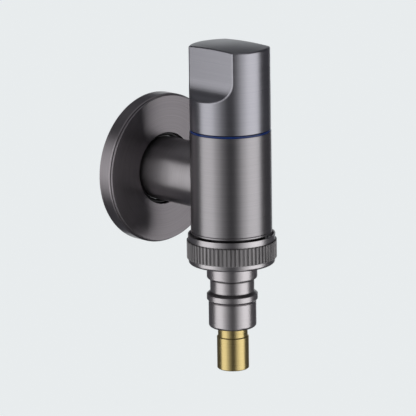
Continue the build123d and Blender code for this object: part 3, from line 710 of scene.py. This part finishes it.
# %% Build the painted shade line group
shade_line_mask = bpy.data.node_groups.new("painted_shade_line", "ShaderNodeTree")
socket(shade_line_mask, "Reading", "NodeSocketFloat", "INPUT", 0.0)
socket(shade_line_mask, "Place", "NodeSocketFloat", "INPUT", 0.0)
socket(shade_line_mask, "Half Width", "NodeSocketFloat", "INPUT", 0.0004)
socket(shade_line_mask, "Shade", "NodeSocketFloat", "INPUT", 0.5)
socket(shade_line_mask, "Mask", "NodeSocketFloat", "OUTPUT")
line_in = add_node(shade_line_mask, "NodeGroupInput", (-900, 0))
line_out = add_node(shade_line_mask, "NodeGroupOutput", (300, 0))
offset = math_node(shade_line_mask, "SUBTRACT", (-700, 0))
away = math_node(shade_line_mask, "ABSOLUTE", (-550, 0))
shaded = add_node(shade_line_mask, "ShaderNodeMapRange", (-350, 250))
shaded.interpolation_type = "SMOOTHSTEP"
shaded.inputs["To Max"].default_value = 0.0
shade_line_mask.links.new(line_in.outputs["Reading"], offset.inputs[0])
shade_line_mask.links.new(line_in.outputs["Place"], offset.inputs[1])
shade_line_mask.links.new(offset.outputs["Value"], away.inputs[0])
shade_line_mask.links.new(away.outputs["Value"], shaded.inputs["Value"])
shade_line_mask.links.new(line_in.outputs["Half Width"], shaded.inputs["From Max"])
shade_line_mask.links.new(line_in.outputs["Shade"], shaded.inputs["To Min"])
shade_line_mask.links.new(shaded.outputs["Result"], line_out.inputs["Mask"])
print(shade_line_mask.name, "has", len(shade_line_mask.nodes), "nodes")

# %% [markdown]
# ## Where the painted shade lines are
#
# The helper below lays the mask over a finish and darkens its tone with painted shade. The nozzle
# gets a shade line under its collar and one at the foot of its neck, the nut one under its rim, and
# the flange one in its groove.

# %% Lay the painted shade lines over the finishes
# The colour of the painted shade in the turned corners and in the flange's groove.
PAINTED_SHADE = (0.02, 0.018, 0.018, 1.0)
COLLAR_FOOT_Z = -35.65 * MM
NECK_FOOT_Z = -40.55 * MM
NUT_RIM_HEIGHT = 2.19 * MM
FLANGE_GROOVE_DROP = 0.76 * MM


def painted_shade_line(material, place, half_width, shade):
    """Paints shade into a finish where its height along its axis is near a place."""
    tree = material.node_tree
    shader = tree.nodes["Principled BSDF"]
    turned = next(n for n in tree.nodes if n.bl_idname == "ShaderNodeGroup" and n.node_tree == lathe)
    line = add_node(tree, "ShaderNodeGroup", (-500, 600))
    line.node_tree = shade_line_mask
    line.inputs["Place"].default_value = place
    line.inputs["Half Width"].default_value = half_width
    line.inputs["Shade"].default_value = shade
    # The painted shade is mixed into the finish's tone here.
    shade_mix = colour_mix(tree, (-250, 450))
    shade_mix.inputs["B"].default_value = PAINTED_SHADE
    tree.links.new(turned.outputs["Height"], line.inputs["Reading"])
    tree.links.new(line.outputs["Mask"], shade_mix.inputs["Factor"])
    tree.links.new(shader.inputs["Base Color"].links[0].from_socket, shade_mix.inputs["A"])
    tree.links.new(shade_mix.outputs["Result"], shader.inputs["Base Color"])
    print("line on", material.name, "at", round(place / MM, 2), "mm")


painted_shade_line(gunmetal_nozzle, COLLAR_FOOT_Z, half_width=0.60 * MM, shade=0.85)
painted_shade_line(gunmetal_nozzle, NECK_FOOT_Z, half_width=0.80 * MM, shade=0.60)
painted_shade_line(gunmetal_nut, nut_high.z - NUT_RIM_HEIGHT, half_width=0.40 * MM, shade=0.60)
painted_shade_line(gunmetal_flange, flange_low.y + FLANGE_GROOVE_DROP, half_width=0.16 * MM, shade=0.45)

# %% [markdown]
# ## Plastic, rubber and ceramic
#
# The blue ring is glossy coloured plastic, the seals are black rubber with a faint bloom, and the
# discs inside are white ceramic. A mild noise in colour and roughness keeps each from looking flat.

# %% Write the plain recipe
PLAIN_BUMP = 0.05


def plain(name, base, spread, rough, grain, shine=0.5):
    """A moulded or sintered material with a fine grain, whose tone and gloss vary a little."""
    material = bpy.data.materials.new(name)
    material.use_nodes = True
    tree = material.node_tree
    shader = tree.nodes["Principled BSDF"]
    shader.inputs["Specular IOR Level"].default_value = shine
    place = add_node(tree, "ShaderNodeTexCoord", (-900, 0))
    speckle = add_node(tree, "ShaderNodeTexNoise", (-700, 0), Scale=grain, Detail=4.0)
    colour = colour_mix(tree, (-400, 150))
    colour.inputs["A"].default_value = (*[c * (1 - spread) for c in base], 1.0)
    colour.inputs["B"].default_value = (*[min(1.0, c * (1 + spread)) for c in base], 1.0)
    gloss = add_node(tree, "ShaderNodeMapRange", (-400, -50))
    gloss.inputs["To Min"].default_value = rough[0]
    gloss.inputs["To Max"].default_value = rough[1]
    relief = add_node(tree, "ShaderNodeBump", (-200, -250), Strength=PLAIN_BUMP)
    relief.inputs["Distance"].default_value = RELIEF_DEPTH
    tree.links.new(place.outputs["Object"], speckle.inputs["Vector"])
    tree.links.new(speckle.outputs["Fac"], colour.inputs["Factor"])
    tree.links.new(speckle.outputs["Fac"], gloss.inputs["Value"])
    tree.links.new(speckle.outputs["Fac"], relief.inputs["Height"])
    tree.links.new(colour.outputs["Result"], shader.inputs["Base Color"])
    tree.links.new(gloss.outputs["Result"], shader.inputs["Roughness"])
    tree.links.new(relief.outputs["Normal"], shader.inputs["Normal"])
    print("plain material:", name)
    return material


blue_plastic = plain(
    "blue_plastic",
    base=(0.012, 0.034, 0.155),
    spread=0.10,
    rough=(0.18, 0.26),
    grain=2500.0,
    shine=0.25,
)
black_rubber = plain(
    "black_rubber",
    base=(0.016, 0.016, 0.016),
    spread=0.15,
    rough=(0.30, 0.45),
    grain=3500.0,
)
white_plastic = plain(
    "white_plastic",
    base=(0.80, 0.80, 0.77),
    spread=0.03,
    rough=(0.40, 0.50),
    grain=3000.0,
)
white_ceramic = plain(
    "white_ceramic",
    base=(0.88, 0.87, 0.84),
    spread=0.02,
    rough=(0.12, 0.20),
    grain=4000.0,
)

# %% [markdown]
# ## Tools for cutting
#
# A turned groove is a small triangle that is wound round an axis and taken away. A Screw modifier
# winds it, its ends are capped, and a Boolean takes it out of a copy of the part. A CAD part is loose
# triangles, so the copy's corners are merged first.

# %% Write the cutting tools
MERGE_DISTANCE = 0.001 * MM
TURN_INTO_WALL = (-math.pi / 2, 0.0, 0.0)


def select_only(piece):
    """Makes a piece the active one and the only one selected."""
    bpy.ops.object.select_all(action="DESELECT")
    bpy.context.view_layer.objects.active = piece
    piece.select_set(True)


def merged_copy(node_name, name):
    """A copy of a CAD part whose loose triangles are merged, so that it can be cut."""
    copied = nodes[node_name].copy()
    copied.data = nodes[node_name].data.copy()
    copied.name = name
    copied.parent = None
    # A copy that kept these two marks would pass for the CAD part itself.
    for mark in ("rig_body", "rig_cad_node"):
        del copied[mark]
    bpy.context.scene.collection.objects.link(copied)
    select_only(copied)
    bpy.ops.object.mode_set(mode="EDIT")
    bpy.ops.mesh.select_all(action="SELECT")
    bpy.ops.mesh.remove_doubles(threshold=MERGE_DISTANCE)
    bpy.ops.object.mode_set(mode="OBJECT")
    print(name, "has", len(copied.data.vertices), "merged vertices")
    return copied


def wound_wedge(name, corners, rise, turns, steps):
    """A triangle wound about Z: a closed ring where it has no rise, or else a capped helix."""
    bpy.ops.object.select_all(action="DESELECT")
    bpy.ops.mesh.primitive_circle_add(vertices=3, radius=1.0, fill_type="NOTHING")
    cutter = bpy.context.object
    cutter.name = name
    for vertex, corner in zip(cutter.data.vertices, corners):
        vertex.co = corner
    wind = cutter.modifiers.new("wind", "SCREW")
    wind.axis = "Z"
    wind.angle = math.tau
    wind.screw_offset = rise
    wind.iterations = turns
    wind.steps = steps
    wind.render_steps = steps
    wind.use_merge_vertices = rise == 0
    bpy.ops.object.modifier_apply(modifier=wind.name)
    bpy.ops.object.mode_set(mode="EDIT")
    bpy.ops.mesh.select_all(action="SELECT")
    bpy.ops.mesh.fill_holes(sides=3)
    bpy.ops.mesh.select_all(action="SELECT")
    bpy.ops.mesh.normals_make_consistent(inside=False)
    bpy.ops.object.mode_set(mode="OBJECT")
    print(name, "has", len(cutter.data.polygons), "faces")
    return cutter


def settle(cutter):
    """Applies the cutter's own place and turn to its mesh."""
    select_only(cutter)
    bpy.ops.object.transform_apply(location=True, rotation=True, scale=True)


def cut_away(piece, cutter):
    """Takes the cutter's shape out of the piece, and deletes the cutter."""
    cut = piece.modifiers.new("cut", "BOOLEAN")
    cut.operation = "DIFFERENCE"
    cut.object = cutter
    cut.solver = "EXACT"
    select_only(piece)
    bpy.ops.object.modifier_apply(modifier=cut.name)
    bpy.data.objects.remove(cutter)


# %% [markdown]
# ## Screw threads
#
# A pipe thread is one long V-shaped groove that winds up round the part. In CAD the threads are plain
# cylinders, so they are cut into a copy of the tap's body. The depth and the pitch are those of a
# pipe thread with 14 turns to the inch, whose flanks stand 55 degrees apart. Each cutter starts a
# little before its thread and stands a little out of it.

# %% Cut the threads
PITCH = 1.814 * MM
THREAD_DEPTH = 1.162 * MM
FLANK_SLOPE = math.tan(math.radians(27.5))
STEPS_PER_TURN = 40
CUTTER_LIP = 0.25 * MM
INLET_R = 10.4775 * MM
INLET_TURNS = 8
INLET_START = -0.1 * MM
OUTLET_R = 13.22 * MM
OUTLET_TURNS = 3
OUTLET_LEAD = 0.6 * MM


def thread_cutter(name, radius, start, turns):
    """A helical wedge about Z, whose point lies one thread depth inside the given radius."""
    half = (THREAD_DEPTH + CUTTER_LIP) * FLANK_SLOPE
    root, rim = radius - THREAD_DEPTH, radius + CUTTER_LIP
    corners = [(root, 0.0, start), (rim, 0.0, start - half), (rim, 0.0, start + half)]
    return wound_wedge(name, corners, PITCH, turns, STEPS_PER_TURN)


threaded = merged_copy("tap_body", "threaded_tap_body")
inlet_cutter = thread_cutter("inlet_cutter", INLET_R, INLET_START, INLET_TURNS)
inlet_cutter.rotation_euler = TURN_INTO_WALL
settle(inlet_cutter)
cut_away(threaded, inlet_cutter)

outlet_cutter = thread_cutter("outlet_cutter", OUTLET_R, body_low.z - OUTLET_LEAD, OUTLET_TURNS)
outlet_cutter.location = (0.0, upright_y, 0.0)
settle(outlet_cutter)
cut_away(threaded, outlet_cutter)
print("threaded body:", len(threaded.data.polygons), "faces")

# %% [markdown]
# ## The flange's groove
#
# The flange's rim slopes back as a narrow cone, and a fine V-shaped groove runs round it. Its profile
# is drawn in two numbers, the distance from the arm's axis and the distance into the wall. The cone
# faces outwards twice as much as it faces forward. The cutter is half as large again as the groove,
# so that it stands clear of the cone.

# %% Cut the flange's groove
GROOVE_DEPTH = 0.30 * MM
GROOVE_HALF = 0.25 * MM
GROOVE_STEPS = 180
GROOVE_INSET = 0.30 * MM
GROOVE_DROP = 0.60 * MM
CUTTER_REACH = 1.5
RIM_FACING = Vector((2.0, -1.0))

grooved = merged_copy("wall_flange", "grooved_wall_flange")
cone_outwards = RIM_FACING.normalized()
cone_along = Vector((cone_outwards.y, -cone_outwards.x))
groove_middle = Vector((flange_high.x - GROOVE_INSET, flange_low.y + GROOVE_DROP))
groove_tip = groove_middle - GROOVE_DEPTH * cone_outwards
groove_corners = [groove_tip]
for rim in (groove_middle - GROOVE_HALF * cone_along, groove_middle + GROOVE_HALF * cone_along):
    groove_corners.append(groove_tip + (rim - groove_tip) * CUTTER_REACH)
groove_corners = [(corner.x, 0.0, corner.y) for corner in groove_corners]
groove_cutter = wound_wedge("groove_cutter", groove_corners, 0.0, 1, GROOVE_STEPS)
groove_cutter.rotation_euler = TURN_INTO_WALL
settle(groove_cutter)
cut_away(grooved, groove_cutter)
print("grooved flange:", len(grooved.data.polygons), "faces")

# %% [markdown]
# ## Finishes on the cut copies
#
# The upright cylinder was brushed about its own axis and the arm about the axis that runs into the
# wall. The body's copy is one mesh, so its faces get one of two materials by how far they lie from
# the upright axis. The flange's copy has one finish.

# %% Paint the body and the flange
UPRIGHT_R = (body_high.x - body_low.x) / 2
SEAM_PLAY = 0.02 * MM
SMOOTH_ANGLE = math.radians(28)

threaded.data.materials.clear()
threaded.data.materials.append(gunmetal_upright)
threaded.data.materials.append(gunmetal_arm)
grooved.data.materials.clear()
grooved.data.materials.append(gunmetal_flange)
for face in threaded.data.polygons:
    from_axis = math.hypot(face.center.x, face.center.y - upright_y)
    face.material_index = 1 if from_axis > UPRIGHT_R + SEAM_PLAY else 0
for piece in (threaded, grooved):
    select_only(piece)
    bpy.ops.object.shade_smooth_by_angle(angle=SMOOTH_ANGLE)
arm_faces = sum(face.material_index for face in threaded.data.polygons)
print("faces with the arm's finish:", arm_faces, "of", len(threaded.data.polygons))

# %% [markdown]
# ## Smooth light on the cut copies
#
# The Boolean leaves long thin triangles, and light averaged over them shows as streaks. But nearly
# every face of the body and the flange was turned about one of the two axes, so its normals are
# known: at each corner they lean out from the axis as much as the face does. They are written to the
# faces' corners. A zero keeps Blender's own normal on a face that wasn't turned about the axis.

# %% Point the normals away from the axes
TURNED_SKEW = 0.12
UP = Vector((0, 0, 1))
WALLWARDS = Vector((0, 1, 0))
upright_point = Vector((0.0, upright_y, 0.0))


def away_from(axis_point, axis, place):
    """The straight direction from an axis to a place."""
    way = place - axis_point
    return (way - way.dot(axis) * axis).normalized()


def turned_normals(face, corners, axis_point, axis):
    """A normal for each corner of a face turned about the axis, or nothing where it wasn't."""
    outwards = away_from(axis_point, axis, face.center)
    if abs(face.normal.dot(axis.cross(outwards))) > TURNED_SKEW:
        return None
    lean = face.normal.dot(outwards)
    climb = face.normal.dot(axis)
    ways = [away_from(axis_point, axis, corner) for corner in corners]
    return [(lean * way + climb * axis).normalized() for way in ways]


def write_normals(piece, axis_of):
    """Sets the turned normals of a piece, whose faces' axes the function axis_of gives."""
    mesh = piece.data
    normals = [Vector() for _ in mesh.loops]
    smoothed = 0
    for face in mesh.polygons:
        corners = [mesh.vertices[i].co for i in face.vertices]
        found = turned_normals(face, corners, *axis_of(face))
        if found:
            smoothed += 1
            for loop, normal in zip(face.loop_indices, found):
                normals[loop] = normal
    mesh.normals_split_custom_set(normals)
    print(piece.name, "turned faces smoothed:", smoothed, "of", len(mesh.polygons))


def body_axis(face):
    """The arm's axis for a face with the arm's finish, and the upright axis for the others."""
    return (Vector(), WALLWARDS) if face.material_index else (upright_point, UP)


write_normals(threaded, body_axis)
write_normals(grooved, lambda face: (Vector(), WALLWARDS))
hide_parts("tap_body")
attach(threaded, "tap")
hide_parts("wall_flange")
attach(grooved, "flange")

# %% [markdown]
# ## A copy of the plunger's spring
#
# The plunger's spring is shut in between the plunger's head and its stop. It is a merged copy of the
# CAD part with the steel finish, which rides with the nozzle and has a mesh of its own.

# %% Copy the plunger's spring
pressed_spring = merged_copy("plunger_spring", "pressed_plunger_spring")
pressed_spring.data.materials.clear()
pressed_spring.data.materials.append(steel)
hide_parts("plunger_spring")
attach(pressed_spring, "nozzle")
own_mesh(pressed_spring)

# %% [markdown]
# ## Finishes on the other parts
#
# Each CAD part keeps its own shape, and its single material is swapped for one made above.

# %% Paint the other parts
finishes = {
    gunmetal_handle: ["handle"],
    gunmetal_nut: ["union_nut"],
    gunmetal_nozzle: ["nozzle", "nozzle_sleeve"],
    raw_brass: ["headwork_housing", "spindle", "plunger"],
    steel: ["spindle_circlip", "handle_screw", "filter_screen", "spring_stop", "snap_ring"],
    blue_plastic: ["indicator_ring"],
    black_rubber: [
        "headwork_gasket",
        "seat_seal",
        "spindle_o_ring_upper",
        "spindle_o_ring_lower",
        "union_gasket",
        "plunger_seal",
        "flange_o_ring",
    ],
    white_plastic: ["slip_washer", "spline_bush"],
    white_ceramic: ["fixed_disc", "moving_disc"],
}
for finish, names in finishes.items():
    for name in names:
        nodes[name].data.materials.clear()
        nodes[name].data.materials.append(finish)
copies = (threaded, grooved, pressed_spring)
painted = sum(len(names) for names in finishes.values())
print("painted", painted, "of", len(nodes) - len(copies))
